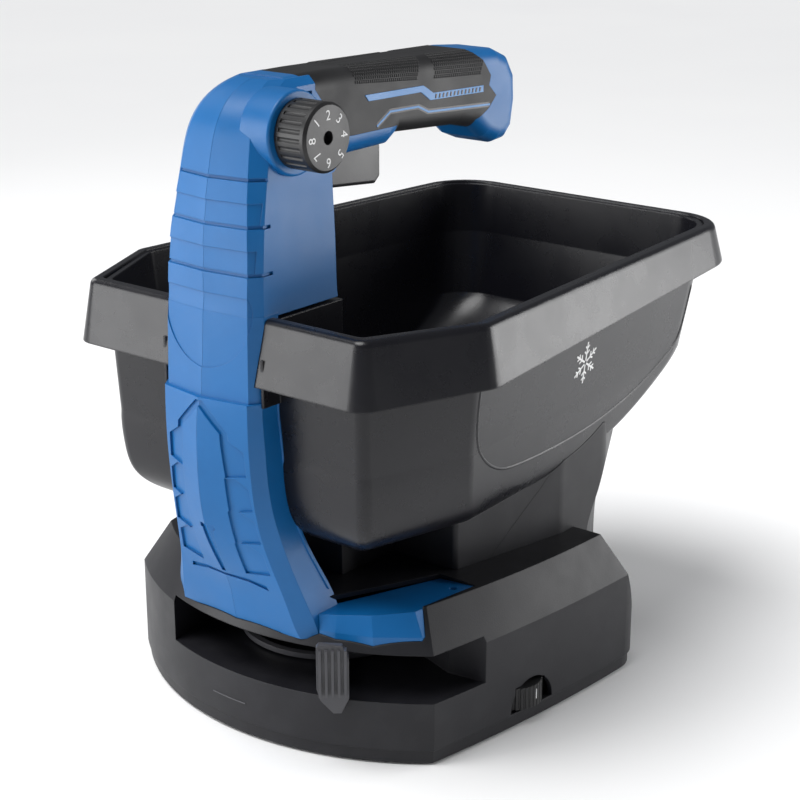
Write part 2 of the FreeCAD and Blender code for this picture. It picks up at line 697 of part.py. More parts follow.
def make_gear_deck():
    """Inner plate under the slot floor that carries the idler pin and the lower bearing."""
    plate = box(-40, 40, AXIS_Y - 34, MOTOR_Y + 14, PLATE_BOTTOM + WALL, SEAM_Z)
    plate = plate.cut(cyl(9 + SEAT_GAP, 20, 0, AXIS_Y, 0))
    return plate


def make_motor_pinion():
    body = gear(PINION_TEETH, GEAR_WIDTH + 1, GEAR_Z - 0.5, 10.0, 1.5)
    body.translate(V(0, MOTOR_Y, 0))
    return body


def make_motor_rotor():
    return cyl(1.5, 22, 0, MOTOR_Y, GEAR_Z - 0.5)


def make_motor():
    z0 = FLOOR_Z + 1
    body = cyl(MOTOR_RADIUS, MOTOR_LENGTH, 0, MOTOR_Y, z0)
    boss = cyl(6, 3, 0, MOTOR_Y, z0 - 3)
    end = cyl(5, 3, 0, MOTOR_Y, z0 + MOTOR_LENGTH)
    motor = join([body, boss, end])
    return motor.cut(cyl(1.5 + RUN_FIT, 20, 0, MOTOR_Y, z0 - 4))


def make_motor_mount():
    """Bridge that hangs the motor from posts on the gear deck."""
    plate = box(-30, 30, MOTOR_Y - 12, MOTOR_Y + 15, FLOOR_Z - 5, FLOOR_Z - 2)
    posts = [cyl(3.5, FLOOR_Z - 5 - SEAM_Z, x, MOTOR_Y + 8, SEAM_Z) for x in (-26, 26)]
    return join([plate] + posts).cut(cyl(11.0, 10, 0, MOTOR_Y, FLOOR_Z - 8))


def make_bearing(z, housing_radius):
    ring = tube(housing_radius, SHAFT_RADIUS + RUN_FIT, 5, 0, AXIS_Y, z)
    return ring


def make_spread_ring():
    """Ring round the impeller with its partial shield and the lever that pokes out of the slot."""
    ring = tube(RING_RADIUS, RING_RADIUS - 4, RING_HEIGHT, 0, AXIS_Y, RING_Z)
    shield = tube(RING_RADIUS, RING_RADIUS - 1.6, ROOF_Z - 4 - RING_Z, 0, AXIS_Y, RING_Z)
    wedge = prism([(0, 0), (90, -14), (90, 60), (0, 60)], RING_Z, ROOF_Z)
    wedge.translate(V(0, AXIS_Y, 0))
    shield = shield.common(turned(wedge, LEVER_ANGLE - 30, 0, AXIS_Y))
    arm = box(-6.5, 6.5, AXIS_Y - LEVER_REACH - 1, AXIS_Y - RING_RADIUS + 2, RING_Z, RING_Z + RING_HEIGHT)
    face = AXIS_Y - LEVER_REACH
    plate = side_prism([(face, RING_Z - 8), (face - 3.0, RING_Z - 7), (face - 5.5, RING_Z + 24),
                        (face - 4.5, RING_Z + 33), (face - 1.5, RING_Z + 34), (face, RING_Z + 30)],
                       -LEVER_HALF, LEVER_HALF)
    outline = [(-LEVER_HALF, RING_Z + 8), (-LEVER_HALF + 2, RING_Z + 1), (1.0, RING_Z - 8), (4.0, RING_Z - 8),
               (LEVER_HALF, RING_Z + 2), (LEVER_HALF, RING_Z + 26), (LEVER_HALF - 3.5, RING_Z + 33),
               (-LEVER_HALF + 1.5, RING_Z + 34), (-LEVER_HALF, RING_Z + 32)]
    ring_wire = [V(x, face - 12, z) for x, z in outline]
    front = Part.Face(Part.makePolygon(ring_wire + [ring_wire[0]])).extrude(V(0, 20, 0))
    lever = plate.common(front)
    ribs = [box(x - 0.8, x + 0.8, face - 6.6, face - 2, RING_Z + 4, RING_Z + 31)
            for x in [LEVER_HALF * 0.39 * i for i in (-2, -1, 0, 1, 2)]]
    handle = join([arm, lever] + ribs)
    handle = turned(handle, LEVER_ANGLE, 0, AXIS_Y)
    return join([ring, shield, handle])


def ring_envelope():
    """Groove in the slot floor that the ring turns in."""
    return tube(RING_RADIUS + GAP, RING_RADIUS - 4 - GAP, 2, 0, AXIS_Y, FLOOR_Z - 0.01)


# ---------------------------------------------------------------- battery
def battery_body(extra):
    z0, z1 = BATTERY_Z
    return box(-BATTERY_HALF - extra, BATTERY_HALF + extra, BATTERY_FRONT_Y - extra,
               BATTERY_BACK_Y + 30, z0 - extra, z1 + extra)


LATCH_Z = (76.0, 86.0)


def make_battery_case():
    z0, z1 = BATTERY_Z
    case = box(-BATTERY_HALF, BATTERY_HALF, BATTERY_FRONT_Y, BATTERY_BACK_Y, z0, z1)
    edges = [e for e in case.Edges if e.CenterOfMass.y > BATTERY_FRONT_Y + 1]
    case = case.makeFillet(5.0, edges)
    case = case.cut(latch_pocket(0.0))
    return case


def latch_pocket(extra):
    return box(-13 - extra, 13 + extra, BATTERY_BACK_Y - 9, BATTERY_BACK_Y + 5,
               LATCH_Z[0] - extra, LATCH_Z[1] + extra)


def make_latch_button():
    button = box(-13 + GAP, 13 - GAP, BATTERY_BACK_Y - 4.5, BATTERY_BACK_Y + 1.0,
                 LATCH_Z[0] + GAP, LATCH_Z[1] - GAP)
    edges = [e for e in button.Edges if e.CenterOfMass.y > BATTERY_BACK_Y + 0.9]
    return button.makeFillet(0.8, edges)


def make_latch_spring():
    return spring(2.4, 0.5, 4.2, 3, V(0, BATTERY_BACK_Y - 8.9, sum(LATCH_Z) / 2), V(0, 1, 0))


def make_battery_dock():
    outer = battery_body(0.6 + WALL).common(box(-200, 200, 0, BATTERY_BACK_Y - 26, 0, 200))
    dock = outer.cut(battery_body(0.6))
    contacts_slot = box(-12, 12, BATTERY_FRONT_Y - 10, BATTERY_FRONT_Y, 54, 66)
    return dock.cut(contacts_slot)


def make_battery_contacts():
    block = box(-11.8, 11.8, BATTERY_FRONT_Y - 7, BATTERY_FRONT_Y - 1.2, 54.2, 65.8)
    return block


def make_rear_housing(side, hopper_body):
    outer = tower_solid(0.0).common(behind_seam(0.05))
    inner = tower_solid(WALL).common(behind_seam(WALL))
    shell = outer.cut(inner)
    low_front = box(-200, 200, -200, BASE_REAR[1] - BASE_REAR_SLOPE - 4, 0, DECK_Z)
    shell = shell.cut(low_front)
    shell = shell.cut(base_outer(0.0)).cut(base_block(0, 0, SEAM_Z + 0.01))
    shell = shell.cut(battery_body(0.6 + WALL + 0.1)).cut(hopper_body).cut(gate_slot())
    return largest(half(shell, side))


# ---------------------------------------------------------------- wing cover
WING_FOOT = [(40.0, -151.8), (60.0, -146.4), (79.0, -138.4), (99.5, -122.5), (108.5, -74.0),
             (74.0, -73.5), (46.0, -132.0)]
WING_CROWN = [(42.5, -148.5), (58.5, -142.5), (75.0, -135.0), (92.5, -120.5), (99.0, -76.0),
              (75.0, -76.0), (49.0, -132.0)]


def wing_body(grow):
    """The wing's block up to the deck's height, before its top is sloped."""
    base_z = ROOF_Z + 0.5
    foot = inset(WING_FOOT, -grow)
    brim = [(x, y, base_z + 8.0) for x, y in foot]
    crown = [(x, y, DECK_Z) for x, y in inset(WING_CROWN, -grow)]
    slab = Part.makeLoft([polygon_wire([(x, y, base_z - 0.2 * grow) for x, y in foot]),
                          polygon_wire(brim)], True, True)
    roof = Part.makeLoft([polygon_wire(brim), polygon_wire(crown)], True, True)
    return slab.fuse(roof).removeSplitter()


def wing_envelope():
    """Room in the base housing for the wing, open above it."""
    top = prism(inset(WING_CROWN, -SEAT_GAP), DECK_Z - 0.1, DECK_Z + 5)
    return wing_body(SEAT_GAP).fuse(top)


def wing_lid():
    """Space above the wing's sloped top, which rises towards the side."""
    near = polygon_wire([(30, -170, 78.6), (30, -60, 78.6), (30, -60, 120), (30, -170, 120)])
    far = near.copy()
    far.translate(V(90, 0, 9.0))
    return Part.makeLoft([near, far], True, True)


def make_wing_cover(neck_envelope):
    wing = wing_body(0.0).cut(wing_lid())
    wing = wing.cut(prism(inset(WING_FOOT, 4.0), ROOF_Z - 1, 74.0))
    wing = wing.cut(neck_envelope)
    dimple = cyl(2.2, 4, 90.5, -84.0, 83.0)
    return largest(wing.cut(dimple))


# ---------------------------------------------------------------- handle parts
def spring(radius, wire_radius, height, turns, place, axis):
    """Coil spring made of a stack of closed rings, standing on its start point."""
    rings = []
    pitch = (height - 2 * wire_radius) / turns
    for i in range(turns + 1):
        centre = place + axis * (wire_radius + i * pitch)
        rings.append(Part.makeTorus(radius, wire_radius, centre, axis))
    return Part.makeCompound(rings)


def trigger_outline(grow):
    y0, z0 = TRIGGER_PIVOT
    end = TRIGGER_END_Y + grow
    return [(y0 - 6, 297 - grow), (y0 + 1, 294 - grow), (end - 3, 289.5 - grow), (end, 292 - grow),
            (end, 310), (end - 5, 320.5), (y0 + 8, 320.5), (y0 - 6, 316)]


def make_trigger():
    body = side_prism(trigger_outline(0.0), -TRIGGER_HALF, TRIGGER_HALF)
    long_edges = [e for e in body.Edges if abs(abs(e.CenterOfMass.x) - TRIGGER_HALF) < 0.01
                  and e.CenterOfMass.z < 300]
    body = body.makeFillet(2.2, long_edges)
    y0, z0 = TRIGGER_PIVOT
    pin_hole = cyl(2.0 + RUN_FIT, 40, -20, y0, z0, V(1, 0, 0))
    return body.cut(pin_hole)


def trigger_room():
    """Room inside the handle for the trigger over its whole travel."""
    y0, z0 = TRIGGER_PIVOT
    side = TRIGGER_HALF + GAP
    return side_prism([(y0 - 7, 250), (TRIGGER_END_Y + 1.5, 250), (TRIGGER_END_Y + 1.5, 331),
                       (y0 + 2, 331), (y0 - 7, 322)], -side, side)


def make_trigger_pin():
    y0, z0 = TRIGGER_PIVOT
    return cyl(2.0, 36, -18, y0, z0, V(1, 0, 0))


def make_trigger_spring():
    return spring(3.5, 0.6, 14.5, 5, V(0, -62, 320.9), V(0, 0, 1))


def make_switch_body():
    return box(-7, 7, -56, -24, 331.5, 347)


def make_switch_plunger():
    return cyl(2.4, 3.5, 0, -48, 328)


GRIP_REAR_EDGE = [(28, 296), (29, 315), (40, 320.5), (47, 327), (40, 333.5), (41.5, 339), (34, 348.5),
                  (20, 358), (20, 370)]


def grip_zone():
    """Stretch of the handle that the soft grip wraps, with its slanted front edge."""
    front = [(-122, 370), (-122, 361), (-114.5, 355), (-105.5, 344), (-88, 322), (-84, 296)]
    return side_prism(front + GRIP_REAR_EDGE, -60, 60)


def cap_zone():
    """Stretch of the handle behind the soft grip."""
    return side_prism(GRIP_REAR_EDGE + [(120, 370), (120, 280), (28, 280)], -60, 60)


def make_grip(side):
    outer = handle_bar(0.0).common(grip_zone())
    sleeve = outer.cut(handle_bar(GRIP_SKIN))
    sleeve = sleeve.cut(box(-40, 40, -130, TRIGGER_END_Y + 2, 290, 322))
    return largest(half(sleeve, side))


def make_handle_cap():
    """Blue hooked end of the handle, closing both shells."""
    cap = handle_bar(0.0).common(cap_zone())
    core = side_prism([(-200, 322), (52, 322), (52, 344), (-200, 344)], -10, 10)
    return largest(cap.cut(core))


def make_shell(side, neck_outer):
    """Half of the blue neck and handle moulding."""
    hollow = neck_column(WALL).common(side_prism(handle_profile(WALL), -80, 80))
    bar_hollow = handle_bar(WALL + GRIP_SKIN).common(box(-40, 40, -140, 26, 280, 400))
    shell = neck_outer.cut(hollow).cut(bar_hollow)
    grip_room = handle_bar(0.0).common(grip_zone())
    shell = shell.cut(grip_room.cut(handle_bar(GRIP_SKIN)).cut(box(-40, 40, -130, TRIGGER_END_Y + 2,
                                                                  290, 322)))
    shell = shell.cut(cap_zone()).cut(trigger_room())
    shell = shell.cut(deep_relief(side).cut(neck_column(1.3)))
    shell = shell.cut(shallow_relief(side).cut(neck_column(0.5)))
    boss = cyl(DIAL_BOSS_RADIUS, 19, 14.0, DIAL_Y, DIAL_Z, V(1, 0, 0))
    boss = boss.makeFillet(1.5, [e for e in boss.Edges if abs(e.CenterOfMass.x - 33.0) < 0.01])
    bore = cyl(4.0 + RUN_FIT, 40, 10, DIAL_Y, DIAL_Z, V(1, 0, 0))
    if side > 0:
        shell = shell.fuse(boss).cut(bore)
    y0, z0 = TRIGGER_PIVOT
    for x in (-18.5, 11.0):
        shell = shell.fuse(cyl(4.5, 7.5, x, y0, z0, V(1, 0, 0)))
    shell = shell.cut(make_trigger_pin()).cut(cable_exit()).cut(cable_pass())
    return largest(half(shell, side))


def make_dial_knob():
    x0 = 33.4
    knob = cyl(DIAL_RADIUS, DIAL_FACE_X - x0, x0, DIAL_Y, DIAL_Z, V(1, 0, 0))
    rim_edges = [e for e in knob.Edges if abs(e.CenterOfMass.x - DIAL_FACE_X) < 0.01]
    knob = knob.makeChamfer(1.4, rim_edges)
    flutes = []
    for i in range(DIAL_FLUTES):
        angle = 2 * math.pi * i / DIAL_FLUTES
        reach = DIAL_RADIUS + 0.5
        flutes.append(cyl(1.3, 14, x0 + 2, DIAL_Y + reach * math.cos(angle),
                          DIAL_Z + reach * math.sin(angle), V(1, 0, 0)))
    knob = knob.cut(flutes)
    knob = knob.cut(cyl(3.4, 8, DIAL_FACE_X - 5, DIAL_Y, DIAL_Z, V(1, 0, 0)))
    return knob.cut(cyl(4.0, 12, x0 - 1, DIAL_Y, DIAL_Z, V(1, 0, 0)))


def make_dial_shaft():
    shaft = cyl(4.0, 44.4 - 12, 12, DIAL_Y, DIAL_Z, V(1, 0, 0))
    crank = cyl(9, 4, 8, DIAL_Y, DIAL_Z, V(1, 0, 0))
    peg = cyl(1.6, 5, 3.5, DIAL_Y, DIAL_Z - 6, V(1, 0, 0))
    return join([shaft, crank, peg])


def make_detent_spring():
    """Leaf that clicks over the crank disc at each number."""
    return box(8.5, 11.5, DIAL_Y + 9.6, DIAL_Y + 10.6, DIAL_Z - 12, DIAL_Z + 4)


CABLE_RADIUS = 2.2
CABLE_EXIT_Z = 94.0
CABLE_ROUTE = [(-147.0, 314.0), (-161.0, 262.0), (-161.5, 190.0), (-164.0, 140.0), (-152.0, CABLE_EXIT_Z),
               (AXIS_Y - 33.0, CABLE_EXIT_Z)]
CABLE_BENDS = [60.0, 200.0, 100.0, 16.0]


def make_cable_sleeve():
    """Sleeve of the gate cable: down the neck, then back to the gate under the hopper."""
    route = [V(0, y, z) for y, z in CABLE_ROUTE]
    edges = []
    start = route[0]
    for before, corner, after, bend in zip(route, route[1:], route[2:], CABLE_BENDS):
        arriving = (corner - before).normalize()
        leaving = (after - corner).normalize()
        half_turn = arriving.getAngle(leaving) / 2.0
        reach = bend * math.tan(half_turn)
        centre = corner + (leaving - arriving).normalize() * (bend / math.cos(half_turn))
        middle = centre + (corner - centre).normalize() * bend
        arc_start = corner - arriving * reach
        arc_end = corner + leaving * reach
        edges.append(Part.LineSegment(start, arc_start).toShape())
        edges.append(Part.Arc(arc_start, middle, arc_end).toShape())
        start = arc_end
    edges.append(Part.LineSegment(start, route[-1]).toShape())
    path = Part.Wire(edges)
    direction = (route[1] - route[0]).normalize()
    ring = Part.Wire([Part.Circle(route[0], direction, CABLE_RADIUS).toShape()])
    return path.makePipeShell([ring], True, True)


def cable_exit():
    """Hole at the foot of the neck for the gate cable."""
    y0 = CABLE_ROUTE[-2][0]
    radius = CABLE_RADIUS + 1.0
    return cyl(radius, 40, 0, y0, CABLE_EXIT_Z, V(0, 1, 0)).fuse(box(-radius, radius, y0, y0 + 40,
                                                                   CABLE_EXIT_Z, CABLE_EXIT_Z + 6))


def cable_pass():
    """Hole for the cable in the neck's inner floor, level with the hopper's rim."""
    return box(-3.2, 3.2, -166.0, -156.5, RIM_Z - 4, RIM_Z + 7)


# ---------------------------------------------------------------- small parts
def make_thumbwheel():
    wheel_x = wheel_centre_x()
    height = WHEEL_Z[1] - WHEEL_Z[0]
    wheel = cyl(WHEEL_RADIUS, height, wheel_x, WHEEL_Y, WHEEL_Z[0])
    notches = []
    count = 36
    for i in range(count):
        angle = 2 * math.pi * i / count
        notches.append(cyl(0.8, height, wheel_x + (WHEEL_RADIUS + 0.2) * math.cos(angle),
                           WHEEL_Y + (WHEEL_RADIUS + 0.2) * math.sin(angle), WHEEL_Z[0]))
    wheel = wheel.cut(notches)
    return wheel.cut(cyl(3.0 + RUN_FIT, height, wheel_x, WHEEL_Y, WHEEL_Z[0]))


def make_thumbwheel_axle():
    wheel_x = wheel_centre_x()
    post = cyl(3.0, 30 - PLATE_BOTTOM - WALL, wheel_x, WHEEL_Y, PLATE_BOTTOM + WALL)
    foot = cyl(7.0, WHEEL_Z[0] - GAP - PLATE_BOTTOM - WALL, wheel_x, WHEEL_Y, PLATE_BOTTOM + WALL)
    return post.fuse(foot).removeSplitter()


def make_control_board():
    board = box(-84, -52, -44, 4, 12, 13.6)
    posts = [cyl(2.5, 12 - PLATE_BOTTOM - WALL, x, y, PLATE_BOTTOM + WALL)
             for x in (-80, -56) for y in (-40, 0)]
    chips = [box(-78, -66, -34, -22, 13.6, 16), box(-64, -58, -36, -26, 13.6, 22),
             cyl(4, 12, -72, -8, 13.6)]
    return join([board] + posts + chips)


def screw(x, y, z, axis, head=3.6, length=12.0):
    """Pan-head screw: head below its seat, shank along axis."""
    top = V(x, y, z)
    return join([Part.makeCylinder(head, 2.2, top - axis * 2.2, axis),
                 Part.makeCylinder(1.6, length, top, axis)])


NECK_SCREW_SPOTS = [(-168, 236), (-160.3, 290), (-118, 290)]


def make_neck_screws():
    """Screws that hold the two neck shells together, driven from the -X side."""
    screws = [screw(-20.0, y, z, V(1, 0, 0), 3.4, 30) for y, z in NECK_SCREW_SPOTS]
    return Part.makeCompound(screws)


def make_neck_bosses():
    """Spacer tubes in the neck for the neck screws."""
    return Part.makeCompound([tube(3.4, 1.6, 30, -20, y, z, V(1, 0, 0)) for y, z in NECK_SCREW_SPOTS])


def make_base_screws():
    spots = [(-86, -92), (86, -92), (-92, 2), (92, 2)]
    return Part.makeCompound([screw(x, y, PLATE_BOTTOM + WALL + 2.2, V(0, 0, 1), 3.4, 12.0)
                              for x, y in spots])


# ---------------------------------------------------------------- assembly
def build():
    neck_outer = handle_outer(0.0)
    neck_envelope = neck_column(-SEAT_GAP)
    hopper_body = hopper_solid(0.0)
    return {
        "base_plate": make_base_plate(),
        "base_feet": make_feet(),
        "base_housing": make_base_housing(neck_envelope, ring_envelope()),
        "wing_cover": make_wing_cover(neck_envelope),
        "hopper_support": make_hopper_support(hopper_body),
        "rear_housing_left": make_rear_housing(-1, hopper_body),
        "rear_housing_right": make_rear_housing(1, hopper_body),
        "hopper": make_hopper(neck_envelope),
        "neck_shell_left": make_shell(-1, neck_outer),
        "neck_shell_right": make_shell(1, neck_outer),
        "handle_cap": make_handle_cap(),
        "grip_left": make_grip(-1),
        "grip_right": make_grip(1),
        "dial_knob": make_dial_knob(),
        "dial_shaft": make_dial_shaft(),
        "dial_detent": make_detent_spring(),
        "trigger": make_trigger(),
        "trigger_pin": make_trigger_pin(),
        "trigger_spring": make_trigger_spring(),
        "switch_body": make_switch_body(),
        "switch_plunger": make_switch_plunger(),
        "gate_plate": make_gate_plate(),
        "gate_cable": make_cable_sleeve(),
        "impeller": make_impeller(),
        "impeller_shaft": make_impeller_shaft(),
        "impeller_gear": make_impeller_gear(),
        "agitator": make_agitator(),
        "idler_gear": make_idler_gear(),
        "idler_pin": make_idler_pin(),
        "motor_pinion": make_motor_pinion(),
        "motor_rotor": make_motor_rotor(),
        "motor": make_motor(),
        "motor_mount": make_motor_mount(),
        "gear_deck": make_gear_deck(),
        "bearing_lower": make_bearing(SEAM_Z + 6, 9.0),
        "bearing_upper": make_bearing(FLOOR_Z - 5, 9.0),
        "spread_ring": make_spread_ring(),
        "battery_case": make_battery_case(),
        "battery_latch": make_latch_button(),
        "battery_latch_spring": make_latch_spring(),
        "battery_dock": make_battery_dock(),
        "battery_contacts": make_battery_contacts(),
        "speed_wheel": make_thumbwheel(),
        "speed_wheel_axle": make_thumbwheel_axle(),
        "control_board": make_control_board(),
        "neck_screws": make_neck_screws(),
        "neck_bosses": make_neck_bosses(),
        "base_screws": make_base_screws(),
    }


os.makedirs("parts", exist_ok=True)
for name, shape in build().items():
    shape.exportStep("parts/" + name + ".step")
    print(name, len(shape.Solids), round(shape.Volume / 1000.0, 2), shape.isValid())
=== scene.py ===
import json
import math

import bmesh
import bpy
from mathutils import Matrix, Vector
from mathutils.bvhtree import BVHTree
from mathutils.geometry import delaunay_2d_cdt


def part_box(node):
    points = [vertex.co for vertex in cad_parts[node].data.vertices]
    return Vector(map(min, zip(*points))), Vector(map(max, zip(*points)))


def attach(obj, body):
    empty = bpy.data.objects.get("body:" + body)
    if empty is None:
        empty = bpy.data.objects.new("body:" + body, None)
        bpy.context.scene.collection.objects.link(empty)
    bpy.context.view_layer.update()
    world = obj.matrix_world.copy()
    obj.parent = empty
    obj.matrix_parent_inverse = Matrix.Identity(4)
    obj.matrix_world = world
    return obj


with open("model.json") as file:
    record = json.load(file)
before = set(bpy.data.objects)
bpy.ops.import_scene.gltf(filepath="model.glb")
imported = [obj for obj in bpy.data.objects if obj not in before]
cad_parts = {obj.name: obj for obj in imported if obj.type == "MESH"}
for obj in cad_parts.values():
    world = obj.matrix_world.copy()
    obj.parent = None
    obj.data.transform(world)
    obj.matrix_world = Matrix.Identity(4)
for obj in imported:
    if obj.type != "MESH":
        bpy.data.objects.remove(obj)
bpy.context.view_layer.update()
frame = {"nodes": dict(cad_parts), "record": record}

MM = 0.001
NODES = frame["nodes"]


# ---------------------------------------------------------------- places taken from the frame
def low(node):
    return Vector(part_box(node)[0]) / MM


def high(node):
    return Vector(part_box(node)[1]) / MM


DIAL_FACE = high("dial_knob").x
DIAL_Y = (low("dial_knob").y + high("dial_knob").y) / 2
DIAL_Z = (low("dial_knob").z + high("dial_knob").z) / 2
DIAL_RADIUS = (high("dial_knob").z - low("dial_knob").z) / 2


# ---------------------------------------------------------------- material building blocks
class Shader:
    """A material under construction, with short calls for the nodes it needs."""

    def __init__(self, name):
        self.material = bpy.data.materials.new(name)
        self.material.use_nodes = True
        self.tree = self.material.node_tree
        self.surface = self.tree.nodes["Principled BSDF"]
        self.place = self.tree.nodes.new("ShaderNodeTexCoord").outputs["Object"]

    def node(self, kind, **settings):
        made = self.tree.nodes.new(kind)
        for key, value in settings.items():
            setattr(made, key, value)
        return made

    def link(self, source, target):
        self.tree.links.new(source, target)

    def noise(self, scale, detail=4.0, roughness=0.55, stretch=None):
        made = self.node("ShaderNodeTexNoise")
        made.inputs["Scale"].default_value = scale
        made.inputs["Detail"].default_value = detail
        made.inputs["Roughness"].default_value = roughness
        if stretch:
            mapping = self.node("ShaderNodeMapping")
            mapping.inputs["Scale"].default_value = stretch
            self.link(self.place, mapping.inputs["Vector"])
            self.link(mapping.outputs[0], made.inputs["Vector"])
        else:
            self.link(self.place, made.inputs["Vector"])
        return made.outputs["Fac"]

    def grains(self, scale):
        made = self.node("ShaderNodeTexVoronoi")
        made.inputs["Scale"].default_value = scale
        self.link(self.place, made.inputs["Vector"])
        return made.outputs["Distance"]

    def ramp(self, source, stops):
        made = self.node("ShaderNodeValToRGB")
        elements = made.color_ramp.elements
        while len(elements) < len(stops):
            elements.new(0.5)
        for element, (position, color) in zip(elements, stops):
            element.position = position
            element.color = (*color, 1.0) if len(color) == 3 else color
        self.link(source, made.inputs["Fac"])
        return made.outputs["Color"]

    def spread(self, source, low_value, high_value):
        made = self.node("ShaderNodeMapRange")
        made.inputs["From Min"].default_value = 0.3
        made.inputs["From Max"].default_value = 0.7
        made.inputs["To Min"].default_value = low_value
        made.inputs["To Max"].default_value = high_value
        self.link(source, made.inputs["Value"])
        return made.outputs["Result"]

    def edge_wear(self):
        """Bright on convex edges, from the surface's own curvature."""
        geometry = self.node("ShaderNodeNewGeometry")
        return self.ramp(geometry.outputs["Pointiness"], [(0.51, (0, 0, 0)), (0.58, (1, 1, 1))])

    def mix(self, amount, first, second):
        made = self.node("ShaderNodeMix", data_type="RGBA")
        for socket, value in ((0, amount), (6, first), (7, second)):
            if isinstance(value, bpy.types.NodeSocket):
                self.link(value, made.inputs[socket])
            elif isinstance(value, tuple):
                made.inputs[socket].default_value = (*value, 1.0)
            else:
                made.inputs[socket].default_value = value
        return made.outputs[2]

    def finish(self, color, roughness, bumps, soft_edge=0.5, specular=0.5, metallic=0.0):
        """Fill the shader. bumps is a list of (texture, strength, distance in mm)."""
        target = self.surface.inputs
        if isinstance(color, tuple):
            target["Base Color"].default_value = (*color, 1.0)
        else:
            self.link(color, target["Base Color"])
        if isinstance(roughness, float):
            target["Roughness"].default_value = roughness
        else:
            self.link(roughness, target["Roughness"])
        target["Metallic"].default_value = metallic
        target["Specular IOR Level"].default_value = specular
        normal = None
        if soft_edge:
            bevel = self.node("ShaderNodeBevel", samples=4)
            bevel.inputs["Radius"].default_value = soft_edge * MM
            normal = bevel.outputs[0]
        for texture, strength, distance in bumps:
            bump = self.node("ShaderNodeBump")
            bump.inputs["Strength"].default_value = strength
            bump.inputs["Distance"].default_value = distance * MM
            self.link(texture, bump.inputs["Height"])
            if normal:
                self.link(normal, bump.inputs["Normal"])
            normal = bump.outputs[0]
        if normal:
            self.link(normal, target["Normal"])
        return self.material


def plastic(name, color, rough=(0.3, 0.4), grain=1400.0, grain_depth=0.03, drift=0.12, wear=0.15,
            soft_edge=0.5, specular=0.5, wave=0.0):
    """Moulded plastic: spark grain, slow colour drift, lighter rubbed edges, uneven gloss."""
    shader = Shader(name)
    slow = shader.noise(14.0, 3.0)
    dark = tuple(c * (1 - drift) for c in color)
    light = tuple(min(1.0, c * (1 + drift)) for c in color)
    tone = shader.ramp(slow, [(0.3, dark), (0.7, light)])
    rubbed = tuple(min(1.0, c * 1.6 + 0.02) for c in color)
    edge = shader.edge_wear()
    patch = shader.ramp(shader.noise(60.0, 5.0), [(0.45, (0, 0, 0)), (0.7, (wear, wear, wear))])
    worn = shader.node("ShaderNodeMath", operation="MULTIPLY")
    shader.link(edge, worn.inputs[0])
    shader.link(patch, worn.inputs[1])
    tone = shader.mix(worn.outputs[0], tone, rubbed)
    gloss = shader.spread(shader.noise(35.0, 6.0, 0.6), rough[0], rough[1])
    bumps = [(shader.grains(grain), 0.5, grain_depth)]
    if wave:
        bumps.insert(0, (shader.noise(9.0, 1.0), 0.4, wave))
    return shader.finish(tone, gloss, bumps, soft_edge, specular)


def metal(name, color, rough=(0.25, 0.42), stretch=(1, 1, 40)):
    """Turned or drawn metal with fine lines along one way."""
    shader = Shader(name)
    lines = shader.noise(260.0, 4.0, 0.6, stretch)
    tone = shader.ramp(lines, [(0.3, tuple(c * 0.8 for c in color)), (0.7, color)])
    gloss = shader.spread(lines, rough[0], rough[1])
    return shader.finish(tone, gloss, [(lines, 0.25, 0.02)], 0.2, metallic=1.0)


def rubber(name, color):
    """Soft overmould: matt, finely pebbled, a little dusty."""
    shader = Shader(name)
    dust = shader.noise(40.0, 6.0)
    tone = shader.ramp(dust, [(0.35, color), (0.8, tuple(c * 1.5 + 0.004 for c in color))])
    gloss = shader.spread(dust, 0.46, 0.6)
    return shader.finish(tone, gloss, [(shader.grains(1900.0), 0.6, 0.03)], 0.4, specular=0.4)


def board_green(name):
    """Circuit board: solder mask with faint tracks."""
    shader = Shader(name)
    tracks = shader.node("ShaderNodeTexBrick")
    tracks.inputs["Scale"].default_value = 240.0
    tracks.inputs["Mortar Size"].default_value = 0.03
    shader.link(shader.place, tracks.inputs["Vector"])
    tone = shader.mix(tracks.outputs["Fac"], (0.02, 0.16, 0.07), (0.05, 0.28, 0.13))
    return shader.finish(tone, 0.35, [(tracks.outputs["Fac"], 0.3, 0.03)], 0.0)


BLUE = (0.003, 0.125, 0.37)
MATERIALS = {
    "blue_shell": plastic("blue_shell", BLUE, (0.34, 0.44), 1500, 0.02, 0.06, 0.10, 0.5, 0.4),
    "black_hopper": plastic("black_hopper", (0.007, 0.007, 0.010), (0.24, 0.32), 1700, 0.010, 0.10,
                            0.12, 1.2, 0.4, wave=0.2),
    "grey_base": plastic("grey_base", (0.010, 0.010, 0.013), (0.40, 0.50), 1300, 0.05, 0.10, 0.2, 0.7, 0.35),
    "soft_grip": rubber("soft_grip", (0.009, 0.009, 0.010)),
    "black_knob": plastic("black_knob", (0.012, 0.012, 0.013), (0.36, 0.46), 1500, 0.03),
    "trigger_black": plastic("trigger_black", (0.014, 0.014, 0.016), (0.3, 0.4)),
    "lever_grey": plastic("lever_grey", (0.060, 0.060, 0.068), (0.36, 0.46)),
    "foot_rubber": rubber("foot_rubber", (0.025, 0.025, 0.025)),
    "steel": metal("steel", (0.62, 0.62, 0.63)),
    "gear_plastic": plastic("gear_plastic", (0.62, 0.60, 0.55), (0.35, 0.5)),
    "motor_can": metal("motor_can", (0.5, 0.5, 0.52), stretch=(1, 1, 20)),
    "contact_metal": metal("contact_metal", (0.78, 0.6, 0.28)),
    "board_green": board_green("board_green"),
    "impeller_black": plastic("impeller_black", (0.016, 0.016, 0.018), (0.38, 0.5)),
    "battery_black": plastic("battery_black", (0.028, 0.028, 0.03), (0.4, 0.52), 1100, 0.06),
    "cable_black": rubber("cable_black", (0.02, 0.02, 0.02)),
}
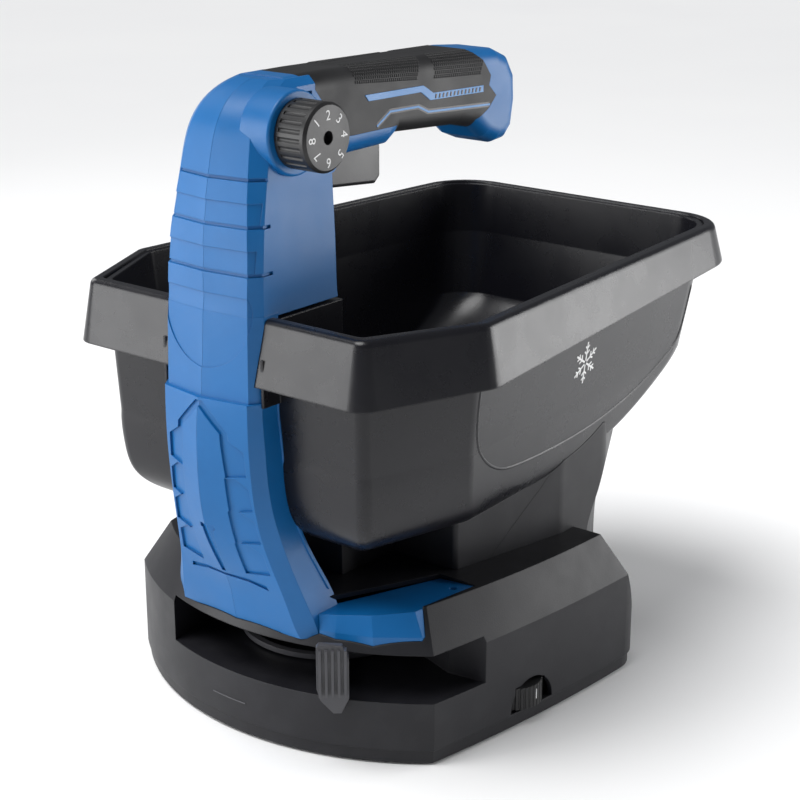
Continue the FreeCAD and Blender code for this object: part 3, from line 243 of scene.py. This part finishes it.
PRINT_WHITE = plastic("print_white", (0.78, 0.78, 0.78), (0.4, 0.5), 900, 0.01, 0.03, 0.0, 0.0)
INLAY_BLUE = plastic("inlay_blue", (0.006, 0.17, 0.47), (0.3, 0.4), 1500, 0.02, 0.06, 0.0, 0.2)


def dress_cad_nodes():
    """Give each carried-over CAD node its finished material."""
    for entry in frame["record"]["subparts"]:
        node = NODES[entry["node"]]
        node.data.materials.clear()
        node.data.materials.append(MATERIALS[entry["material_slot"]])


# ---------------------------------------------------------------- mesh building blocks
def add_object(name, mesh, material, body):
    piece = bpy.data.objects.new(name, mesh)
    bpy.context.scene.collection.objects.link(piece)
    mesh.materials.clear()
    mesh.materials.append(material)
    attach(piece, body)
    return piece


def surface_of(*names):
    """A tree of the CAD nodes' faces, for putting pieces onto them."""
    points, faces = [], []
    for name in names:
        mesh = NODES[name].data
        base = len(points)
        points += [v.co.copy() for v in mesh.vertices]
        faces += [[base + i for i in p.vertices] for p in mesh.polygons]
    return BVHTree.FromPolygons(points, faces)


def dense(outline, step):
    """The closed outline with points added so that no side is longer than step."""
    result = []
    count = len(outline)
    for i in range(count):
        a = Vector(outline[i])
        b = Vector(outline[(i + 1) % count])
        parts = max(1, math.ceil((b - a).length / step))
        result += [a.lerp(b, k / parts) for k in range(parts)]
    return result


def shrunk(outline, distance):
    """The closed outline moved inwards by distance."""
    area = sum(a.x * b.y - b.x * a.y for a, b in zip(outline, outline[1:] + outline[:1]))
    turn = 1.0 if area > 0 else -1.0
    result = []
    count = len(outline)
    for i in range(count):
        before = (outline[i] - outline[i - 1]).normalized()
        after = (outline[(i + 1) % count] - outline[i]).normalized()
        first = Vector((-before.y, before.x)) * turn
        second = Vector((-after.y, after.x)) * turn
        scale = 1.0 + first.dot(second)
        result.append(outline[i] + (first + second) * (distance / max(scale, 0.35)))
    return result


def inside(point, outline):
    hit = False
    count = len(outline)
    for i in range(count):
        a, b = outline[i - 1], outline[i]
        if (a.y > point.y) != (b.y > point.y):
            if point.x < (b.x - a.x) * (point.y - a.y) / (b.y - a.y) + a.x:
                hit = not hit
    return hit


class Side:
    """A way of looking at the object: two drawing axes and the direction of view, in mm."""

    def __init__(self, right, up, start):
        self.right = Vector(right).normalized()
        self.up = Vector(up).normalized()
        self.view = self.up.cross(self.right)
        self.start = Vector(start)

    def point(self, u, v):
        return self.start + self.right * u + self.up * v

    def on(self, tree, u, v, height):
        """Where the view line at (u, v) meets the surface, lifted towards the viewer."""
        origin = (self.point(u, v) - self.view * 400.0) * MM
        place = tree.ray_cast(origin, self.view)[0]
        if place is None:
            return None
        return place - self.view * height * MM


RIGHT = Side((0, 1, 0), (0, 0, 1), (0, 0, 0))       # from +X: u is y, v is z
LEFT = Side((0, -1, 0), (0, 0, 1), (0, 0, 0))       # from -X: u is -y, v is z
FRONT = Side((1, 0, 0), (0, 0, 1), (0, 0, 0))       # from -Y: u is x, v is z


def patch(side, tree, outline, height, edge=0.35, step=3.0, sunk=0.5):
    """Raised patch with the given outline that follows the surface under it."""
    outer = dense(outline, step)
    inner = shrunk(outer, edge)
    points = outer + inner
    us = [p.x for p in outer]
    vs = [p.y for p in outer]
    guard = shrunk(outer, edge + step * 0.3)
    u = min(us) + step / 2
    while u < max(us):
        v = min(vs) + step / 2
        while v < max(vs):
            spot = Vector((u, v))
            if inside(spot, guard):
                points.append(spot)
            v += step
        u += step
    count = len(outer)
    loops = [(count + i, count + (i + 1) % count) for i in range(count)]
    made, _, faces, _, _, _ = delaunay_2d_cdt(points, loops, [list(range(count))], 1, 1e-5)
    bm = bmesh.new()
    verts = []
    for i, spot in enumerate(made):
        border = min((spot - p).length for p in outer) < 1e-4
        lift = -sunk if border else height
        place = side.on(tree, spot.x, spot.y, lift)
        verts.append(bm.verts.new(place) if place is not None else None)
    for face in faces:
        corners = [verts[i] for i in face]
        if None not in corners:
            bm.faces.new(corners)
    bmesh.ops.recalc_face_normals(bm, faces=bm.faces)
    loose = [v for v in bm.verts if not v.link_faces]
    bmesh.ops.delete(bm, geom=loose, context="VERTS")
    towards = sum((f.normal * f.calc_area() for f in bm.faces), Vector())
    if towards.dot(side.view) > 0:
        bmesh.ops.reverse_faces(bm, faces=bm.faces)
    mesh = bpy.data.meshes.new("patch")
    bm.to_mesh(mesh)
    bm.free()
    return mesh


def merged(meshes):
    bm = bmesh.new()
    for mesh in meshes:
        bm.from_mesh(mesh)
    result = bpy.data.meshes.new("merged")
    bm.to_mesh(result)
    bm.free()
    return result


def smooth(piece, degrees):
    for polygon in piece.data.polygons:
        polygon.use_smooth = True
    piece.data.set_sharp_from_angle(angle=math.radians(degrees))
    return piece


def finish_mesh(bm, name):
    bmesh.ops.recalc_face_normals(bm, faces=bm.faces)
    mesh = bpy.data.meshes.new(name)
    bm.to_mesh(mesh)
    bm.free()
    return mesh


# ---------------------------------------------------------------- dial
def lettering(text, size):
    """A flat solid of one character, centred, in the XY plane, in metres."""
    curve = bpy.data.curves.new("character", "FONT")
    curve.body = text
    curve.size = size * MM
    curve.extrude = 0.12 * MM
    curve.align_x = "CENTER"
    curve.align_y = "CENTER"
    holder = bpy.data.objects.new("character", curve)
    bpy.context.scene.collection.objects.link(holder)
    bpy.context.view_layer.update()
    mesh = bpy.data.meshes.new_from_object(holder)
    bpy.data.objects.remove(holder)
    middle = sum((v.co for v in mesh.vertices), Vector()) / len(mesh.vertices)
    mesh.transform(Matrix.Translation(-middle))
    return mesh


def dial_place(angle, radius, out):
    """Point on the dial's face: angle clockwise from the top, seen from +X."""
    y = DIAL_Y + radius * math.sin(angle)
    z = DIAL_Z + radius * math.cos(angle)
    return Vector((DIAL_FACE + out, y, z)) * MM


def make_dial_detail():
    numbers = []
    for i in range(8):
        angle = math.radians(45.0 * (i - 1))
        mesh = lettering(str(i + 1), DIAL_RADIUS * 0.40)
        stand = Matrix(((0, 0, 1, 0), (1, 0, 0, 0), (0, 1, 0, 0), (0, 0, 0, 1)))
        spin = Matrix.Rotation(-angle, 4, "X")
        mesh.transform(Matrix.Translation(dial_place(angle, DIAL_RADIUS * 0.68, 0.0)) @ spin @ stand)
        numbers.append(mesh)
    add_object("dial_numbers", merged(numbers), PRINT_WHITE, "dial")


# ---------------------------------------------------------------- handle
INLAY = [(-71.2, 342.0), (-21.0, 341.0), (-12.1, 335.9), (34.3, 334.4), (34.4, 330.2), (-15.0, 331.8),
         (-23.3, 337.2), (-67.9, 338.0)]
TICK_COUNT = 13
TICK_FIRST_Y = -10.5
TICK_PITCH = 3.4
TICK_SIZE = (1.5, 2.6)        # along the inlay, and across it
TICK_LEAN = 0.6
INLAY_TOP = (-12.0, 335.0)    # y and z where the inlay's rear part starts
INLAY_FALL = 0.032            # fall of its top edge, mm for each mm of y
LOWER_LINE = [(-61.1, 323.9), (-49.8, 330.4), (-25.4, 329.8), (-16.5, 325.9), (42.7, 322.4)]


def ribbon(line, width):
    """Closed outline of the given width round an open line."""
    points = [Vector(p) for p in line]
    upper, lower = [], []
    for i, p in enumerate(points):
        before = (p - points[i - 1]).normalized() if i else (points[1] - p).normalized()
        after = (points[i + 1] - p).normalized() if i + 1 < len(points) else before
        across = Vector((-(before + after).y, (before + after).x)).normalized()
        reach = width / 2 / max(0.5, across.dot(Vector((-after.y, after.x))))
        upper.append(p + across * reach)
        lower.append(p - across * reach)
    return upper + lower[::-1]


def flip(outline, sign):
    return [Vector((p[0] * sign, p[1])) for p in outline]


def inset_outline(outline, distance):
    return shrunk([Vector(p) for p in outline], distance)


def make_handle_detail():
    for side, grip, sign, tag in ((RIGHT, "grip_right", 1, "right"), (LEFT, "grip_left", -1, "left")):
        tree = surface_of(grip)
        frame_mesh = patch(side, tree, flip(inset_outline(INLAY, 1.3), sign), 0.12, 0.3, 3.0)
        add_object("inlay_border_" + tag, frame_mesh, MATERIALS["trigger_black"], "frame")
        blue = patch(side, tree, flip(INLAY, sign), 0.3, 0.25, 2.5)
        add_object("inlay_" + tag, blue, INLAY_BLUE, "frame")
        ticks = []
        for i in range(TICK_COUNT):
            y = TICK_FIRST_Y + i * TICK_PITCH
            top = INLAY_TOP[1] - (y - INLAY_TOP[0]) * INLAY_FALL
            wide, tall = TICK_SIZE
            tick = [(y, top), (y + wide, top), (y + wide - TICK_LEAN, top - tall),
                    (y - TICK_LEAN, top - tall)]
            ticks.append(patch(side, tree, flip(tick, sign), 0.5, 0.15, 2.0))
        add_object("inlay_ticks_" + tag, merged(ticks), MATERIALS["trigger_black"], "frame")
        line = patch(side, tree, flip(ribbon(LOWER_LINE, 1.5), sign), 0.22, 0.2, 2.0)
        add_object("lower_line_" + tag, line, INLAY_BLUE, "frame")
        border = patch(side, tree, flip(ribbon(LOWER_LINE, 3.6), sign), 0.08, 0.2, 2.5)
        add_object("line_border_" + tag, border, MATERIALS["trigger_black"], "frame")


def bump_field(side, tree, cells, pitch, height):
    """Small blunt pyramids on the surface, one for each (u, v) in cells."""
    bm = bmesh.new()
    for u, v in cells:
        rings = []
        for half, lift in ((pitch * 0.42, -0.4), (pitch * 0.40, height * 0.3), (pitch * 0.24, height)):
            ring = [side.on(tree, u + a * half, v + b * half, lift)
                    for a, b in ((-1, -1), (1, -1), (1, 1), (-1, 1))]
            rings.append(ring)
        if any(p is None for ring in rings for p in ring):
            continue
        verts = [[bm.verts.new(p) for p in ring] for ring in rings]
        for first, second in zip(verts, verts[1:]):
            for k in range(4):
                j = (k + 1) % 4
                bm.faces.new((first[k], first[j], second[j], second[k]))
        bm.faces.new(verts[-1])
    return finish_mesh(bm, "bumps")


KNURL_PITCH = 1.75
KNURL_HEIGHT = 0.42
KNURL_ROWS = 9
KNURL_SLANT = 0.9             # shift of each row along the grip
KNURL_SHIFT = 6.0             # how far forward the first row starts
KNURL_START = (19.5, 341.5)   # x and z of the fields' lower edge
KNURL_OFFSET = 2.6            # first row's distance from that edge
KNURL_FIELDS = [(-78.0, -20.0, 0.062), (-11.0, 38.0, 0.05)]     # start y, end y, fall per mm


def make_knurling():
    """Two fields of small points over the top of the grip, on each side of its seam."""
    for grip, sign, tag in (("grip_right", 1, "right"), ("grip_left", -1, "left")):
        tree = surface_of(grip)
        side = Side((0, sign, 0), (-0.62 * sign, 0, 0.78), (0, 0, 0))
        cells = []
        base = side.up.dot(Vector((KNURL_START[0] * sign, 0, KNURL_START[1])))
        for start, end, fall in KNURL_FIELDS:
            count = int((end - start) / KNURL_PITCH)
            for i in range(count):
                y = start + (i + 0.5) * KNURL_PITCH
                for k in range(KNURL_ROWS):
                    spot = y + KNURL_SLANT * k - KNURL_SHIFT
                    if spot < start or spot > end:
                        continue
                    v = base + KNURL_OFFSET + k * KNURL_PITCH - fall * (spot - KNURL_FIELDS[0][1])
                    cells.append((spot * sign, v))
        mesh = bump_field(side, tree, cells, KNURL_PITCH, KNURL_HEIGHT)
        add_object("knurling_" + tag, mesh, MATERIALS["soft_grip"], "frame")


# ---------------------------------------------------------------- hopper and neck
CORNER_CUTS = 2
SHARP_ANGLE = 60              # degrees; flatter edges of the raised lines are shaded smooth
PANEL_LINE = [(-95.0, 208.0), (-93.5, 186.0), (-88.0, 168.0), (-73.0, 154.5), (-50.0, 146.5), (30.0, 143.5),
              (90.0, 152.0), (128.0, 168.0), (141.0, 178.0), (147.0, 207.0)]
NECK_LIP = [(-157.6, 199.0), (-157.2, 182.0), (-155.8, 165.0), (-152.8, 143.0), (-148.8, 126.0),
            (-144.0, 112.0), (-140.6, 105.0), (-134.6, 90.0)]


def rounded_line(line):
    """The open line with its corners cut, then cut again, so that they read as round."""
    points = [Vector(p) for p in line]
    for _ in range(CORNER_CUTS):
        result = [points[0]]
        for a, b in zip(points, points[1:]):
            result += [a.lerp(b, 0.25), a.lerp(b, 0.75)]
        points = result + [points[-1]]
    return points


def make_side_lines():
    for side, sign, tag in ((RIGHT, 1, "right"), (LEFT, -1, "left")):
        tree = surface_of("hopper")
        line = ribbon(rounded_line(PANEL_LINE), 2.6)
        mesh = patch(side, tree, flip(line, sign), 0.55, 0.9, 2.5)
        piece = add_object("panel_line_" + tag, mesh, MATERIALS["black_hopper"], "frame")
        smooth(piece, SHARP_ANGLE)
        tree = surface_of("neck_shell_" + tag)
        lip = ribbon(rounded_line(NECK_LIP), 2.4)
        mesh = patch(side, tree, flip(lip, sign), 0.8, 0.5, 2.0)
        piece = add_object("neck_lip_" + tag, mesh, MATERIALS["blue_shell"], "frame")
        smooth(piece, SHARP_ANGLE)


def bar(centre, angle, start, end, width):
    """Outline of a bar along a ray from the centre, between two distances from it."""
    along = Vector((math.cos(angle), math.sin(angle)))
    across = Vector((-along.y, along.x)) * width / 2
    middle = Vector(centre)
    return [middle + along * start - across, middle + along * end - across,
            middle + along * end + across, middle + along * start + across]


SNOW_CENTRE = (18.0, 190.0)
SNOW_ARM = (1.2, 12.5)        # inner and outer end, from the centre
SNOW_ARM_WIDTH = 1.3
SNOW_TWIGS = [(5.0, 3.4), (8.4, 2.8)]     # place on the arm, and length
SNOW_TWIG_WIDTH = 1.1
SNOW_TWIG_TURN = 50           # degrees to either side of the arm


def make_snow_mark():
    """Plain six-armed snow crystal on the hopper's side, as a sign of what it spreads."""
    tree = surface_of("hopper")
    centre = Vector(SNOW_CENTRE)
    pieces = []
    for i in range(6):
        angle = math.radians(60 * i + 30)
        arm = Vector((math.cos(angle), math.sin(angle)))
        pieces.append(bar(centre, angle, *SNOW_ARM, SNOW_ARM_WIDTH))
        for place, length in SNOW_TWIGS:
            for turn in (-SNOW_TWIG_TURN, SNOW_TWIG_TURN):
                twig = bar(centre + arm * place, angle + math.radians(turn), 0.0, length,
                           SNOW_TWIG_WIDTH)
                pieces.append(twig)
    meshes = [patch(RIGHT, tree, outline, 0.16, 0.1, 3.0, 0.2) for outline in pieces]
    add_object("snow_mark", merged(meshes), PRINT_WHITE, "frame")


def make_base_highlight_and_tick():
    # The front strip is raised slightly and coloured a lighter grey than the base. The colour is a painted
    # highlight standing in for light caught along the front lip. The wheel tick below it is print.
    tree = surface_of("base_housing")
    line = [(-16.5, 20.6), (8.5, 20.6), (8.5, 19.8), (-16.5, 19.8)]
    mesh = patch(FRONT, tree, [Vector(p) for p in line], 0.4, 0.2, 2.0, 0.2)
    add_object("base_front_painted_highlight", mesh, MATERIALS["lever_grey"], "frame")
    tree = surface_of("speed_wheel")
    tick = [(-50.4, 15.0), (-49.4, 15.0), (-49.4, 21.0), (-50.4, 21.0)]
    mesh = patch(RIGHT, tree, [Vector(p) for p in tick], 0.15, 0.1, 1.0, 0.3)
    add_object("wheel_tick", mesh, PRINT_WHITE, "speed_dial")


# ---------------------------------------------------------------- stage
def make_stage():
    bpy.ops.mesh.primitive_plane_add(size=8.0, location=(0, 0, 0))
    floor = bpy.context.object
    floor.name = "floor"
    shader = Shader("floor_pale")
    tone = shader.ramp(shader.noise(2.0, 2.0), [(0.3, (0.90, 0.90, 0.905)), (0.7, (0.92, 0.92, 0.92))])
    floor.data.materials.append(shader.finish(tone, 0.6, [], 0.0, specular=0.1))
    world = bpy.data.worlds.new("studio")
    world.use_nodes = True
    background = world.node_tree.nodes["Background"]
    background.inputs["Color"].default_value = (0.93, 0.96, 1.0, 1.0)
    background.inputs["Strength"].default_value = 0.17
    bpy.context.scene.world = world
    sun = bpy.data.lights.new("overhead", "SUN")
    sun.energy = 2.75
    sun.angle = math.radians(40)
    holder = bpy.data.objects.new("overhead", sun)
    holder.rotation_euler = Vector((0.25, 0.35, -1.0)).to_track_quat("-Z", "Y").to_euler()
    bpy.context.scene.collection.objects.link(holder)
    softbox("front_left", (-0.95, -1.2, 0.45), (0, 0, 0.18), 0.9, 13.0)
    softbox("back_right", (0.85, 0.95, 0.4), (0, 0, 0.2), 0.8, 11.0)
    softbox("left", (-1.2, 0.1, 0.7), (0, 0, 0.25), 0.6, 3.0)


def softbox(name, place, target, size, power):
    light = bpy.data.lights.new(name, "AREA")
    light.shape = "SQUARE"
    light.size = size
    light.energy = power
    holder = bpy.data.objects.new(name, light)
    holder.location = place
    aim = Vector(target) - Vector(place)
    holder.rotation_euler = aim.to_track_quat("-Z", "Y").to_euler()
    bpy.context.scene.collection.objects.link(holder)


CAMERA_PLACE = (0.63378, -0.80888, 0.49753)
CAMERA_AZIMUTH = 38.67        # degrees, from straight in front towards +X
CAMERA_PITCH = 18.65          # degrees below level
CAMERA_LENS = 82.53           # mm, on a sensor 36 mm wide


def make_camera():
    azimuth = math.radians(CAMERA_AZIMUTH)
    pitch = math.radians(CAMERA_PITCH)
    ahead = Vector((-math.sin(azimuth) * math.cos(pitch), math.cos(azimuth) * math.cos(pitch),
                    -math.sin(pitch)))
    camera = bpy.data.cameras.new("camera")
    camera.lens = CAMERA_LENS
    camera.sensor_width = 36.0
    holder = bpy.data.objects.new("camera", camera)
    holder.location = CAMERA_PLACE
    holder.rotation_euler = ahead.to_track_quat("-Z", "Y").to_euler()
    bpy.context.scene.collection.objects.link(holder)
    bpy.context.scene.camera = holder
    bpy.context.scene.view_settings.view_transform = "Standard"


dress_cad_nodes()
make_dial_detail()
make_handle_detail()
make_knurling()
make_side_lines()
make_snow_mark()
make_base_highlight_and_tick()
make_stage()
make_camera()
